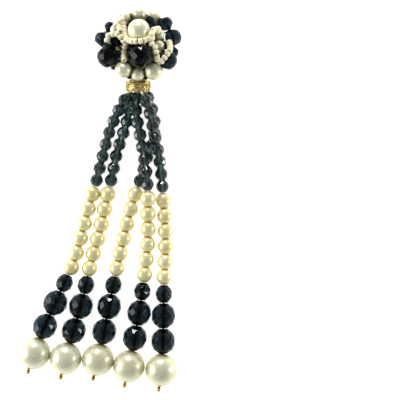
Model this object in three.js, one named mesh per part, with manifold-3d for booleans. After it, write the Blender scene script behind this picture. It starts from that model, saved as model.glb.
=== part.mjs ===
// Chandelier clip earring, lying on its clip. Millimetres, +Z up, strands along -Y.
// A cluster of pearls and faceted crystals sits on a pierced dome over the ear clip. Five strands
// hang from a filigree cap below it: small crystals, pearls, three larger crystals and a round pearl
// on a gold head pin. The origin is the middle of the clip paddle's flat outer face.
import * as THREE from "three";
import { mergeVertices } from "three/addons/utils/BufferGeometryUtils.js";
import Module from "manifold-3d";

// Strand beads: width is across the hole, length is along it.
const crystalsPerStrand = 8;
const smallCrystalWidth = 4.0;
const smallCrystalLength = 3.9;
const pearlsPerStrand = 6;
const strandPearlWidth = 5.0;
const strandPearlLength = 4.8;
const midCrystalWidth = 5.1;
const midCrystalLength = 5.5;
const largeCrystalWidth = 7.3;
const largeCrystalLength = 7.7;
const largeCrystalsPerStrand = 2;
const endPearlWidth = 10.0;
const endPearlLength = 9.9;
const beadGap = 0.2;

// Thread, bores and head pins.
const threadWidth = 0.6;
const holeRimWidth = 2.1;
const midRimWidth = 2.1;
const largeRimWidth = 2.7;
const endRimWidth = 1.8;
const boreWidth = 1.3;
const pinWidth = 0.7;
const pinBallWidth = 1.6;

// Dome that carries the cluster: an ellipsoid shell, tipped so that its lower edge is nearest the eye.
const domeRadius = 8.6;
const domeRise = 5.0;
const domeWall = 0.8;
const domeTilt = 17;
const domeHeight = 6.2;
const domeSetback = 1.2;
const domeHoleWidth = 1.5;
const domeHolesPerRing = 6;
const domeHoleLeans = [25, 55];
const stoneGap = 0.25;

// Ear clip: base disc under the dome, bridge at the lower edge, flat paddle, eye for the cap's pin.
const seatGap = 0.3;
const baseRadius = 8.2;
const baseThickness = 0.8;
const paddleThickness = 0.9;
const paddleWidth = 5.6;
const paddleReach = 5.4;
const tipBevel = 0.6;
const heelBend = 1.0;
const bridgeReach = 7.6;
const bridgeThickness = 0.9;
const eyeRadius = 0.95;
const eyeWire = 0.54;
const eyeHeight = 6.3;
const linkPlay = 0.05;

// Filigree cap that gathers the strands.
const capLength = 3.9;
const capWidth = 7.7;
const capRimWidth = 7.3;
const capTopWidth = 3.0;
const capHoleWidth = 1.5;
const capWall = 0.5;
const capDip = 14;
const capPetals = 8;
const petalSlotWidth = 1.25;
const petalSlotLength = 2.3;
const scallopWidth = 1.3;
const scallopDrop = 0.1;
const capPinBallWidth = 1.5;

// Facets round the beads, sides and bands of round pearls, sides of wires and of the dome.
const smallCrystalSides = 8;
const largeCrystalSides = 10;
const largeCutFrom = 5;
const strandPearlSides = 10;
const pearlSides = 12;
const pearlBands = 5;
const endPearlBands = 8;
const wireSides = 8;
const pinSides = 6;
const domeSides = 16;
const domeBands = 5;
const domeHoleSides = 5;
const discSides = 28;
const ringSides = 6;
const ringSteps = 14;
const pinBallBands = 4;
const capBallSides = 10;
const capBallBands = 6;
const petalSlotSides = 6;
const scallopSides = 6;

// Faceted beads: how far out along the bead each row of facets ends, and how wide it is there, as
// shares of half the length and of half the width. Stones' flat hole rims are a share of their width.
const smallFacetReach = 0.42;
const largeFacetReach = 0.34;
const crownReach = 0.68;
const crownSpread = 0.78;
const stoneRimShare = 0.12;
const stoneLengthShare = 0.97;

// Cap's outer face from the top to above the rim: share of the way from the top's width to the full
// width, share of the length, and share of the wall by which the inner face lies lower.
const capSections = [
  { spread: 0, depth: 0, drop: 1 },
  { spread: 0.61, depth: 0.12, drop: 0.7 },
  { spread: 0.89, depth: 0.3, drop: 0.3 },
  { spread: 1, depth: 0.55, drop: 0 },
  { spread: 1, depth: 0.82, drop: 0 },
];

// Each strand's route, from below the clip's eye at floor height: where its thread is tied in the
// cap, the first bead's hole, then points down the strand to the end of its pin.
const strandRoutes = [
  [
    [-1.1, -4.9, 5.7], [-3.12, -7.9, 7.0], [-5.8, -11.8, 5.4], [-9.0, -18.4, 2.9],
    [-11.3, -25.9, 2.1], [-13.1, -33.6, 2.2], [-15.8, -42.5, 2.75], [-18.2, -51.8, 2.75],
    [-20.9, -61.0, 2.8], [-25.8, -72.0, 3.9], [-32.4, -87.8, 5.1], [-34.8, -95.4, 5.1],
  ],
  [
    [-0.9, -4.7, 4.3], [-2.5, -6.45, 2.35], [-2.9, -11.9, 2.3], [-4.3, -18.4, 4.5],
    [-6.9, -25.5, 2.5], [-8.4, -33.0, 2.3], [-10.5, -42.0, 2.75], [-12.5, -51.4, 2.75],
    [-15.2, -60.5, 2.75], [-17.6, -72.4, 3.95], [-22.4, -88.7, 5.15], [-24.8, -98.2, 5.15],
  ],
  [
    [0.9, -4.7, 4.3], [2.1, -6.4, 2.4], [4.2, -11.7, 2.3], [5.1, -19.3, 2.1],
    [2.7, -26.8, 2.1], [0.4, -34.3, 2.2], [-2.6, -43.2, 2.8], [-4.8, -52.5, 2.75],
    [-6.9, -61.9, 2.8], [-9.2, -73.8, 3.9], [-12.5, -90.5, 5.1], [-14.6, -98.0, 5.1],
  ],
  [
    [-0.1, -4.8, 5.2], [-0.1, -6.8, 5.2], [-0.8, -12.2, 6.2], [0.6, -19.9, 5.8],
    [2.0, -27.7, 6.1], [2.9, -35.5, 5.5], [3.0, -44.9, 4.1], [2.8, -54.4, 3.0],
    [1.8, -64.0, 2.8], [0.2, -76.0, 3.9], [-2.9, -92.8, 5.15], [-5.0, -101.0, 5.15],
  ],
  [
    [0.8, -4.9, 5.8], [1.98, -8.1, 8.15], [3.6, -12.6, 7.3], [5.2, -20.3, 6.4],
    [6.6, -27.7, 4.3], [7.4, -35.4, 2.9], [8.1, -44.7, 2.75], [8.5, -54.3, 2.75],
    [8.1, -63.9, 2.75], [7.8, -76.0, 3.9], [7.5, -92.9, 5.15], [6.1, -101.2, 5.15],
  ],
];

// Cluster stones: width across the hole, length along it where it isn't nearly the width, bearing
// round the dome, lean from its axis, lift on their wire, and turn of the hole from the line out of
// the centre where it doesn't lie along the ring. Angles in degrees.
const clusterPearls = [
  { name: "centre_pearl", width: 7.0, bearing: 30, lean: 5, lift: 1.1, turn: 60 },
  { name: "left_pearl", width: 3.4, bearing: 155, lean: 46, lift: 0.2 },
  { name: "top_left_pearl", width: 4.4, bearing: 121, lean: 52 },
  { name: "top_pearl", width: 4.4, bearing: 87, lean: 57 },
  { name: "top_right_pearl", width: 4.0, bearing: 61, lean: 73 },
  { name: "right_pearl", width: 3.0, bearing: 12, lean: 45, lift: 0.3, turn: 0 },
  { name: "right_low_pearl", width: 3.2, bearing: -18, lean: 45, lift: 0.3, turn: 0 },
  { name: "bottom_right_pearl", width: 5.4, bearing: -62, lean: 74 },
  { name: "bottom_pearl", width: 4.0, bearing: -88.5, lean: 75 },
  { name: "bottom_left_pearl", width: 5.1, bearing: -113.5, lean: 68 },
];
const clusterCrystals = [
  { name: "front_crystal", width: 7.8, length: 7.2, bearing: -79, lean: 37, lift: 0.3, turn: 0 },
  { name: "left_low_crystal", width: 6.9, bearing: -146.5, lean: 62, lift: 0.1 },
  { name: "left_crystal", width: 4.3, bearing: -168.5, lean: 37, lift: 0.4 },
  { name: "far_left_crystal", width: 5.0, bearing: 170, lean: 81 },
  { name: "upper_left_crystal", width: 3.8, bearing: 146, lean: 78 },
  { name: "top_left_crystal", width: 2.8, bearing: 104, lean: 32, lift: 0.3 },
  { name: "top_right_crystal", width: 3.8, length: 5.0, bearing: 52, lean: 37, lift: 0.8 },
  { name: "upper_right_crystal", width: 4.7, bearing: 37.6, lean: 75, lift: 0.2 },
  { name: "right_crystal", width: 5.3, bearing: 11.8, lean: 80 },
  { name: "right_small_crystal", width: 3.9, bearing: -10.8, lean: 87, lift: 0.2 },
  { name: "lower_right_crystal", width: 5.8, bearing: -32.5, lean: 74, lift: 0.1 },
];

const materials = {
  teal: new THREE.MeshStandardMaterial({ color: 0x23393b, roughness: 0.12, metalness: 0 }),
  navy: new THREE.MeshStandardMaterial({ color: 0x121f26, roughness: 0.08, metalness: 0 }),
  cream: new THREE.MeshStandardMaterial({ color: 0xe9dfb4, roughness: 0.28, metalness: 0 }),
  ivory: new THREE.MeshStandardMaterial({ color: 0xe6e4cf, roughness: 0.25, metalness: 0 }),
  gold: new THREE.MeshStandardMaterial({ color: 0xd9b964, roughness: 0.25, metalness: 1 }),
};

const wasm = await Module();
wasm.setup();

// Middle of the clip's eye along Y, sunk a little into the bridge, and the pin's neck above the cap.
const clipEyeAt = -bridgeReach - eyeRadius + eyeWire / 4;
const capPinNeck = eyeWire / 2 + seatGap;

const UP = new THREE.Vector3(0, 1, 0);
const radians = THREE.MathUtils.degToRad;

// Bare, merged triangles: what a closed solid needs and nothing else.
function merged(geometry) {
  geometry.deleteAttribute("normal");
  geometry.deleteAttribute("uv");
  return mergeVertices(geometry, 1e-5);
}

function solid(geometry) {
  const clean = merged(geometry);
  const mesh = new wasm.Mesh({
    numProp: 3,
    vertProperties: new Float32Array(clean.attributes.position.array),
    triVerts: new Uint32Array(clean.index.array),
  });
  return new wasm.Manifold(mesh);
}

function geometryOf(manifold) {
  const mesh = manifold.getMesh();
  const geometry = new THREE.BufferGeometry();
  geometry.setAttribute("position", new THREE.BufferAttribute(mesh.vertProperties, 3));
  geometry.setIndex(new THREE.BufferAttribute(mesh.triVerts, 1));
  geometry.computeVertexNormals();
  return geometry;
}

// Rings of a faceted bead from one hole rim to the other, as [radius, distance from the middle].
// Turned half a facet from ring to ring they make flat diamonds round the girdle.
function crystalRings(width, length, sides, rim) {
  const radius = width / 2;
  const half = length / 2;
  const girdle = radius * Math.cos(Math.PI / sides);
  const reach = smallFacetReach * half;
  return [[rim, -half], [girdle, -reach], [radius, 0], [girdle, reach], [rim, half]];
}

// The same for a larger bead, with one more row of facets on each side of the girdle.
function largeCrystalRings(width, length, sides, rim) {
  const radius = width / 2;
  const half = length / 2;
  const girdle = radius * Math.cos(Math.PI / sides);
  const reach = largeFacetReach * half;
  const crown = crownSpread * radius;
  const shoulder = crownReach * half;
  return [
    [rim, -half], [crown, -shoulder], [girdle, -reach], [radius, 0],
    [girdle, reach], [crown, shoulder], [rim, half],
  ];
}

function pearlRings(width, length, bands, rim) {
  const radius = width / 2;
  const start = Math.asin(rim / radius);
  const rings = [];
  for (let i = 0; i <= bands; i++) {
    const angle = start + (Math.PI - 2 * start) * (i / bands);
    rings.push([radius * Math.sin(angle), -(length / 2) * (Math.cos(angle) / Math.cos(start))]);
  }
  return rings;
}

// A lathe solid about +Y whose rings are each turned by a further share of one side.
function lathe(profile, sides, twist) {
  const points = profile.map(([radius, along]) => new THREE.Vector2(radius, along));
  const geometry = new THREE.LatheGeometry(points, sides);
  const position = geometry.attributes.position;
  const step = (2 * Math.PI) / sides;
  const vertex = new THREE.Vector3();
  for (let i = 0; i < position.count; i++) {
    vertex.fromBufferAttribute(position, i);
    vertex.applyAxisAngle(UP, (i % points.length) * twist * step);
    position.setXYZ(i, vertex.x, vertex.y, vertex.z);
  }
  return geometry;
}

// A bead with flat ends at its hole rims, without the bore.
function closedBead(rings, sides, twist) {
  const first = rings[0];
  const last = rings[rings.length - 1];
  return lathe([[0, first[1]], ...rings, [0, last[1]]], sides, twist);
}

// A drilled bead: the bore's wall closes the profile on itself.
function drilledBead(rings, sides, twist) {
  const half = rings[rings.length - 1][1];
  const bore = boreWidth / 2;
  const bead = solid(closedBead(rings, sides, twist));
  const drill = solid(new THREE.CylinderGeometry(bore, bore, 2 * half + boreWidth, wireSides));
  return geometryOf(bead.subtract(drill));
}

// Holes of the beads along a strand's route: each bead is straight and spans two of these points.
function strandJoints(route, spans) {
  const curve = new THREE.CatmullRomCurve3(route.map((p) => new THREE.Vector3(...p)), false, "centripetal");
  const joints = [curve.getPoint(0), curve.getPoint(1 / (route.length - 1))];
  let t = 1 / (route.length - 1);
  for (const span of spans) {
    const from = joints[joints.length - 1];
    let low = t;
    let high = Math.min(1, t + 0.3);
    for (let i = 0; i < 40; i++) {
      const middle = (low + high) / 2;
      if (curve.getPoint(middle).distanceTo(from) < span) low = middle;
      else high = middle;
    }
    t = high;
    joints.push(curve.getPoint(t));
  }
  return joints;
}

// Bends a straight lathe of rings along a row of joints. marks[i] is the straight distance at which
// joint i lies; a ring at a mark takes the mean direction of its two spans.
function bent(profile, marks, joints, sides, twist) {
  const geometry = lathe(profile, sides, twist);
  const position = geometry.attributes.position;
  const frames = [];
  let across = new THREE.Vector3(1, 0, 0);
  for (let i = 0; i + 1 < joints.length; i++) {
    const along = joints[i + 1].clone().sub(joints[i]).normalize();
    across = across.clone().addScaledVector(along, -across.dot(along)).normalize();
    frames.push({ along, across, side: across.clone().cross(along) });
  }
  const frameAt = (distance) => {
    let i = 0;
    while (i + 2 < marks.length && distance > marks[i + 1] + 1e-6) i++;
    const share = (distance - marks[i]) / (marks[i + 1] - marks[i]);
    const centre = joints[i].clone().lerp(joints[i + 1], share);
    const here = frames[i];
    const next = frames[i + 1];
    if (!next || Math.abs(distance - marks[i + 1]) > 1e-6) return { centre, ...here };
    const across = here.across.clone().add(next.across).normalize();
    const side = here.side.clone().add(next.side).normalize();
    return { centre, across, side };
  };
  const vertex = new THREE.Vector3();
  for (let i = 0; i < position.count; i++) {
    vertex.fromBufferAttribute(position, i);
    const { centre, across: x, side: z } = frameAt(vertex.y);
    const moved = centre.clone().addScaledVector(x, vertex.x).addScaledVector(z, vertex.z);
    position.setXYZ(i, moved.x, moved.y, moved.z);
  }
  return geometry;
}

function part(name, geometry, material) {
  const mesh = new THREE.Mesh(geometry, material);
  mesh.name = name;
  return mesh;
}

// Beads fused on their thread: an optional bare lead of thread, then the beads end to end.
function beadString(joints, lead, ringsOfBead, beadLength, sides, twist) {
  const marks = lead > 0 ? [0, lead] : [0];
  const profile = lead > 0 ? [[0, 0], [threadWidth / 2, 0], [threadWidth / 2, lead]] : [[0, 0]];
  const beads = joints.length - marks.length;
  for (let i = 0; i < beads; i++) {
    const start = lead + i * beadLength;
    const rings = i > 0 ? ringsOfBead.slice(1) : ringsOfBead;
    for (const [radius, along] of rings) profile.push([radius, start + beadLength / 2 + along]);
    marks.push(start + beadLength);
  }
  profile.push([0, lead + beads * beadLength]);
  return bent(profile, marks, joints, sides, twist);
}

function placedBead(name, geometry, material, from, to) {
  const bead = part(name, geometry, material);
  bead.position.copy(from).lerp(to, 0.5);
  bead.quaternion.setFromUnitVectors(UP, to.clone().sub(from).normalize());
  return bead;
}

// Head pin: a shaft through the large beads from the last strand pearl to a ball below the end pearl.
function headPin(joints) {
  const shaft = pinWidth / 2;
  const ball = pinBallWidth / 2;
  const marks = [0];
  for (let i = 1; i < joints.length; i++) marks.push(marks[i - 1] + joints[i].distanceTo(joints[i - 1]));
  const profile = [[0, beadGap], [shaft, beadGap]];
  for (const mark of marks.slice(1, -1)) profile.push([shaft, mark]);
  const centre = marks[marks.length - 1] - ball;
  const start = Math.asin(shaft / ball);
  for (let i = 0; i < pinBallBands; i++) {
    const angle = start + ((Math.PI - start) * i) / pinBallBands;
    profile.push([ball * Math.sin(angle), centre - ball * Math.cos(angle)]);
  }
  profile.push([0, centre + ball]);
  return bent(profile, marks, joints, pinSides, 0);
}

function strand(number, route) {
  const group = new THREE.Group();
  const spans = [];
  for (let i = 0; i < crystalsPerStrand; i++) spans.push(smallCrystalLength);
  spans.push(beadGap);
  for (let i = 0; i < pearlsPerStrand; i++) spans.push(strandPearlLength);
  spans.push(beadGap, midCrystalLength);
  for (let i = 0; i < largeCrystalsPerStrand; i++) spans.push(beadGap, largeCrystalLength);
  spans.push(beadGap, endPearlLength, 2 * beadGap + pinBallWidth);
  const joints = strandJoints(route, spans);
  const label = (piece) => `strand_${number}_${piece}`;
  const rim = holeRimWidth / 2;

  const lead = joints[0].distanceTo(joints[1]);
  const smallRings = crystalRings(smallCrystalWidth, smallCrystalLength, smallCrystalSides, rim);
  const crystals = beadString(
    joints.slice(0, crystalsPerStrand + 2), lead, smallRings, smallCrystalLength, smallCrystalSides, 0.5,
  );
  group.add(part(label("crystals"), crystals, materials.teal));

  const pearlStart = crystalsPerStrand + 2;
  const pearlEnd = pearlStart + pearlsPerStrand;
  const rings = pearlRings(strandPearlWidth, strandPearlLength, pearlBands, rim);
  const pearlJoints = joints.slice(pearlStart, pearlEnd + 1);
  const pearls = beadString(pearlJoints, 0, rings, strandPearlLength, strandPearlSides, 0);
  group.add(part(label("pearls"), pearls, materials.cream));

  let at = pearlEnd + 1;
  const midRings = largeCrystalRings(midCrystalWidth, midCrystalLength, smallCrystalSides, midRimWidth / 2);
  const mid = drilledBead(midRings, smallCrystalSides, 0.5);
  group.add(placedBead(label("mid_crystal"), mid, materials.navy, joints[at], joints[at + 1]));

  const largeRim = largeRimWidth / 2;
  const largeRings = largeCrystalRings(largeCrystalWidth, largeCrystalLength, largeCrystalSides, largeRim);
  for (let i = 1; i <= largeCrystalsPerStrand; i++) {
    at += 2;
    const large = drilledBead(largeRings, largeCrystalSides, 0.5);
    group.add(placedBead(label(`large_crystal_${i}`), large, materials.navy, joints[at], joints[at + 1]));
  }

  at += 2;
  const endRings = pearlRings(endPearlWidth, endPearlLength, endPearlBands, endRimWidth / 2);
  const end = drilledBead(endRings, pearlSides, 0);
  group.add(placedBead(label("end_pearl"), end, materials.ivory, joints[at], joints[at + 1]));

  group.add(part(label("head_pin"), headPin(joints.slice(pearlEnd)), materials.gold));
  return group;
}

// Group whose +Z is the dome's axis and whose origin is the middle of its rim.
function domeFrame() {
  const group = new THREE.Group();
  group.position.set(0, -domeSetback, domeHeight);
  group.rotation.x = -radians(domeTilt);
  return group;
}

// Point and outward direction on the dome, in its own frame.
function domeSeat(bearing, lean) {
  const out = Math.sin(radians(lean));
  const up = Math.cos(radians(lean));
  const around = new THREE.Vector3(Math.cos(radians(bearing)), Math.sin(radians(bearing)), 0);
  const point = around.clone().multiplyScalar(domeRadius * out).setZ(domeRise * up);
  const normal = around.clone().multiplyScalar(out / domeRadius).setZ(up / domeRise).normalize();
  return { point, normal, around };
}

function placedStone({ name, width, bearing, lean, lift = 0, turn = 90 }, geometry, material) {
  const { point, normal, around } = domeSeat(bearing, lean);
  const stone = part(name, geometry, material);
  stone.position.copy(point).addScaledVector(normal, width / 2 + stoneGap + lift);
  const ringwise = new THREE.Vector3(0, 0, 1).cross(around);
  const outward = ringwise.clone().cross(normal).negate();
  const hole = outward.applyAxisAngle(normal, radians(turn));
  stone.quaternion.setFromUnitVectors(UP, hole);
  return stone;
}

function clusterPearl(stone) {
  const { width } = stone;
  const rings = pearlRings(width, stoneLengthShare * width, pearlBands, stoneRimShare * width);
  return placedStone(stone, closedBead(rings, pearlSides, 0), materials.ivory);
}

function clusterCrystal(stone) {
  const { width, length = stoneLengthShare * width } = stone;
  const large = width > largeCutFrom;
  const sides = large ? largeCrystalSides : smallCrystalSides;
  const cut = large ? largeCrystalRings : crystalRings;
  const rings = cut(width, length, sides, stoneRimShare * width);
  return placedStone(stone, closedBead(rings, sides, 0.5), materials.navy);
}

// Pierced dome, made about +Y and stood on its axis.
function beadPlate() {
  const profile = [];
  for (let i = 0; i <= domeBands; i++) {
    const angle = (Math.PI / 2) * (i / domeBands);
    profile.push([(domeRadius - domeWall) * Math.sin(angle), (domeRise - domeWall) * Math.cos(angle)]);
  }
  for (let i = domeBands; i >= 0; i--) {
    const angle = (Math.PI / 2) * (i / domeBands);
    profile.push([domeRadius * Math.sin(angle), domeRise * Math.cos(angle)]);
  }
  profile[0][0] = 0;
  profile[profile.length - 1][0] = 0;
  let plate = solid(lathe(profile, domeSides, 0).rotateX(Math.PI / 2));
  for (const lean of domeHoleLeans) {
    for (let i = 0; i < domeHolesPerRing; i++) {
      const { point, normal } = domeSeat((360 * (i + 0.5)) / domeHolesPerRing, lean);
      const bore = domeHoleWidth / 2;
      const drill = new THREE.CylinderGeometry(bore, bore, 4 * domeWall, domeHoleSides);
      const aim = new THREE.Quaternion().setFromUnitVectors(UP, normal);
      drill.applyQuaternion(aim).translate(point.x, point.y, point.z);
      plate = plate.subtract(solid(drill));
    }
  }
  return part("bead_plate", geometryOf(plate), materials.gold);
}

// Side view of the clip's strip: paddle on the ground, bridge up into the base disc.
function clipStrip(top) {
  const shape = new THREE.Shape();
  const heel = -bridgeReach;
  shape.moveTo(heel + heelBend, 0);
  shape.lineTo(paddleReach - tipBevel, 0);
  shape.lineTo(paddleReach, paddleThickness);
  shape.lineTo(heel + bridgeThickness, paddleThickness);
  shape.lineTo(heel + bridgeThickness, top);
  shape.lineTo(heel, top);
  shape.lineTo(heel, heelBend);
  shape.closePath();
  const strip = new THREE.ExtrudeGeometry(shape, { depth: paddleWidth, bevelEnabled: false });
  strip.rotateY(Math.PI / 2).rotateX(Math.PI / 2).translate(-paddleWidth / 2, 0, 0);
  return strip;
}

function earClip() {
  const frame = domeFrame();
  frame.updateMatrix();
  const disc = new THREE.CylinderGeometry(baseRadius, baseRadius, baseThickness, discSides);
  disc.rotateX(Math.PI / 2).translate(0, 0, -seatGap - baseThickness / 2).applyMatrix4(frame.matrix);
  const slope = Math.tan(radians(domeTilt));
  const bridgeTop = domeHeight - seatGap - baseThickness + (bridgeReach - domeSetback) * slope;
  const eye = new THREE.TorusGeometry(eyeRadius, eyeWire / 2, ringSides, ringSteps).rotateY(Math.PI / 2);
  eye.translate(0, clipEyeAt, eyeHeight);
  const clip = solid(disc).add(solid(clipStrip(bridgeTop))).add(solid(eye));
  return part("ear_clip", geometryOf(clip), materials.gold);
}

// Frame of the cap: +Y from the mouth to the top, dipping towards the surface at the mouth. The pin's
// eye hangs in the clip's eye, and the cap's top lies below it.
function capFrame() {
  const group = new THREE.Group();
  const reach = eyeRadius + capPinNeck;
  const dip = radians(capDip);
  const y = clipEyeAt - eyeRadius - linkPlay - reach * Math.cos(dip);
  group.position.set(0, y, eyeHeight - reach * Math.sin(dip));
  group.rotation.x = dip;
  return group;
}

function filigreeCap() {
  const top = capTopWidth / 2;
  const hole = capHoleWidth / 2;
  const outer = [[hole, 0]];
  const inner = [[hole, -capWall]];
  for (const { spread, depth, drop } of capSections) {
    const radius = top + spread * (capWidth / 2 - top);
    outer.push([radius, -depth * capLength]);
    inner.push([radius - capWall, -depth * capLength - drop * capWall]);
  }
  outer.push([capRimWidth / 2, -capLength]);
  inner.push([capRimWidth / 2 - capWall, -capLength]);
  const profile = [...inner, ...outer.reverse(), inner[0]];
  let cap = solid(lathe(profile, 3 * capPetals, 0));
  for (let i = 0; i < capPetals; i++) {
    const turn = (2 * Math.PI * i) / capPetals;
    const slotRadius = petalSlotWidth / 2;
    const slot = new THREE.CylinderGeometry(slotRadius, slotRadius, capWidth / 2, petalSlotSides);
    slot.rotateX(Math.PI / 2).scale(1, petalSlotLength / petalSlotWidth, 1);
    slot.translate(0, -0.5 * capLength, capWidth / 2).rotateY(turn);
    const biteRadius = scallopWidth / 2;
    const bite = new THREE.CylinderGeometry(biteRadius, biteRadius, capWidth / 2, scallopSides);
    bite.rotateX(Math.PI / 2).translate(0, -capLength - scallopDrop, capWidth / 2);
    bite.rotateY(turn + Math.PI / capPetals);
    cap = cap.subtract(solid(slot)).subtract(solid(bite));
  }
  return part("filigree_cap", geometryOf(cap), materials.gold);
}

// Eye pin of the cap: an eye through the clip's eye, a shaft through the cap's top, a ball inside.
function capPin() {
  const wire = eyeWire / 2;
  const ball = capPinBallWidth / 2;
  const eye = new THREE.TorusGeometry(eyeRadius, wire, ringSides, ringSteps);
  eye.translate(0, eyeRadius + capPinNeck, 0);
  const foot = -capWall - seatGap;
  const centre = foot - ball;
  const outline = [[0, centre], [wire, centre], [wire, capPinNeck], [0, capPinNeck]];
  const shaft = lathe(outline, wireSides, 0);
  const bead = new THREE.SphereGeometry(ball, capBallSides, capBallBands).translate(0, centre, 0);
  const pin = solid(eye).add(solid(shaft)).add(solid(bead));
  return part("cap_pin", geometryOf(pin), materials.gold);
}

const earring = new THREE.Group();
earring.add(earClip());

const cluster = domeFrame();
cluster.add(beadPlate());
for (const stone of clusterPearls) cluster.add(clusterPearl(stone));
for (const stone of clusterCrystals) cluster.add(clusterCrystal(stone));
earring.add(cluster);

const cap = capFrame();
cap.add(filigreeCap(), capPin());
earring.add(cap);

const strands = new THREE.Group();
strands.position.y = clipEyeAt;
strandRoutes.forEach((route, i) => strands.add(strand(i + 1, route)));
earring.add(strands);

export default earring;
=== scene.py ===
"""Looks of a chandelier clip earring lying on its clip: glass, pearls, seed beads, gilt metal.

Lengths are millimetres, turned into metres where a mesh is made. The clip's flat paddle rests on the
floor at the origin, the dome's axis leans from +Z, and the strands run along -Y.
"""

import math
import random
from collections import namedtuple

import bmesh
import bpy
import numpy as np
from mathutils import Matrix, Vector


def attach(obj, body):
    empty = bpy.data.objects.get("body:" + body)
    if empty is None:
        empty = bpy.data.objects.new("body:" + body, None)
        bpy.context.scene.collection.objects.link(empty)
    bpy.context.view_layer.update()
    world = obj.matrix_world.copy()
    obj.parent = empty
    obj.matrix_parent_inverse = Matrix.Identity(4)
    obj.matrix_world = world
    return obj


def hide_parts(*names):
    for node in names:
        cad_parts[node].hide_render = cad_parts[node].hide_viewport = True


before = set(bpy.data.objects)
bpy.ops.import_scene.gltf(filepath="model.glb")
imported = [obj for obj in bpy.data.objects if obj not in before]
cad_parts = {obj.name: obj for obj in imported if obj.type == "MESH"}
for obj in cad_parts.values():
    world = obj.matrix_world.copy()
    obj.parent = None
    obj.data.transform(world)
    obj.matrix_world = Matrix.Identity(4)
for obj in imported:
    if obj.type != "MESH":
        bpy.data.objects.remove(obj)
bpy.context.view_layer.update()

MM = 0.001

# Strand beads, as in the part: width across the hole, length along it.
CRYSTALS_PER_STRAND = 8
SMALL_CRYSTAL = (4.0, 3.9)
PEARLS_PER_STRAND = 6
STRAND_PEARL = (5.0, 4.8)
MID_LENGTH = 5.5
LARGE_LENGTH = 7.7
END_LENGTH = 9.9
BEAD_GAP = 0.2
PIN_BALL = 1.6

# Each strand's route, from below the clip's eye at floor height, as in the part: its knot in the cap,
# the first bead's hole, then points down to the end of its pin.
STRAND_ROUTES = [
    [
        (-1.1, -4.9, 5.7), (-3.12, -7.9, 7.0), (-5.8, -11.8, 5.4), (-9.0, -18.4, 2.9),
        (-11.3, -25.9, 2.1), (-13.1, -33.6, 2.2), (-15.8, -42.5, 2.75), (-18.2, -51.8, 2.75),
        (-20.9, -61.0, 2.8), (-25.8, -72.0, 3.9), (-32.4, -87.8, 5.1), (-34.8, -95.4, 5.1),
    ],
    [
        (-0.9, -4.7, 4.3), (-2.5, -6.45, 2.35), (-2.9, -11.9, 2.3), (-4.3, -18.4, 4.5),
        (-6.9, -25.5, 2.5), (-8.4, -33.0, 2.3), (-10.5, -42.0, 2.75), (-12.5, -51.4, 2.75),
        (-15.2, -60.5, 2.75), (-17.6, -72.4, 3.95), (-22.4, -88.7, 5.15), (-24.8, -98.2, 5.15),
    ],
    [
        (0.9, -4.7, 4.3), (2.1, -6.4, 2.4), (4.2, -11.7, 2.3), (5.1, -19.3, 2.1),
        (2.7, -26.8, 2.1), (0.4, -34.3, 2.2), (-2.6, -43.2, 2.8), (-4.8, -52.5, 2.75),
        (-6.9, -61.9, 2.8), (-9.2, -73.8, 3.9), (-12.5, -90.5, 5.1), (-14.6, -98.0, 5.1),
    ],
    [
        (-0.1, -4.8, 5.2), (-0.1, -6.8, 5.2), (-0.8, -12.2, 6.2), (0.6, -19.9, 5.8),
        (2.0, -27.7, 6.1), (2.9, -35.5, 5.5), (3.0, -44.9, 4.1), (2.8, -54.4, 3.0),
        (1.8, -64.0, 2.8), (0.2, -76.0, 3.9), (-2.9, -92.8, 5.15), (-5.0, -101.0, 5.15),
    ],
    [
        (0.8, -4.9, 5.8), (1.98, -8.1, 8.15), (3.6, -12.6, 7.3), (5.2, -20.3, 6.4),
        (6.6, -27.7, 4.3), (7.4, -35.4, 2.9), (8.1, -44.7, 2.75), (8.5, -54.3, 2.75),
        (8.1, -63.9, 2.75), (7.8, -76.0, 3.9), (7.5, -92.9, 5.15), (6.1, -101.2, 5.15),
    ],
]

# Radii of the rims and mouths round the holes, and of bores, threads, wires and pins.
HOLE_RIM = 1.05
MID_RIM = 1.2
LARGE_RIM = 1.35
PEARL_NECK = 1.05
END_NECK = 0.9
SMALL_BORE = 0.45
LARGE_BORE = 0.62
THREAD_RADIUS = 0.38
KNOT_RADIUS = 0.4
LEAD_RADIUS = 0.22
PIN_RADIUS = 0.33
STONE_WIRE = 0.2
COLLAR_RADIUS = 0.7
COLLAR_HALF = 0.1  # half its height

# Cut beads: rows of facets between rim and waist as (share of the radius, share of half the length),
# facets round, and bevel. The bevels cut the corners back, so strand crystals reach further out.
SMALL_ROWS = [(0.9239, 0.46)]
SMALL_SIDES = 8
SMALL_BEVEL = 0.07
LARGE_ROWS = [(0.78, 0.68), (0.951, 0.34)]
LARGE_SIDES = 10
LARGE_BEVEL = 0.045
LARGE_CUT_FROM = 5.2
CORNER_REACH = 1.04

# Angles between faces, in radians: flatter seams are joined and sharper ones bevelled.
FLAT_SEAM = 0.02
SHARP_SEAM = 0.1

# Sides and bands of the pearls' meshes, spread of the strand pearls' sizes, play between neighbours.
STRAND_PEARL_MESH = (32, 18)
END_PEARL_MESH = (48, 30)
STONE_PEARL_MESH = (40, 24)
PEARL_SIZES = (0.985, 1.0)
PEARL_PLAY = 0.02
CRYSTAL_PLAY = 0.04

# Stones of the cluster: bore, pearls' dished mouth and crystals' bevel as shares of the width, and
# crystals' rim as a multiple of the bore.
STONE_BORE = 0.05
STONE_MOUTH = 0.14
STONE_BEVEL = 0.012
STONE_RIM = 1.4

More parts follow.
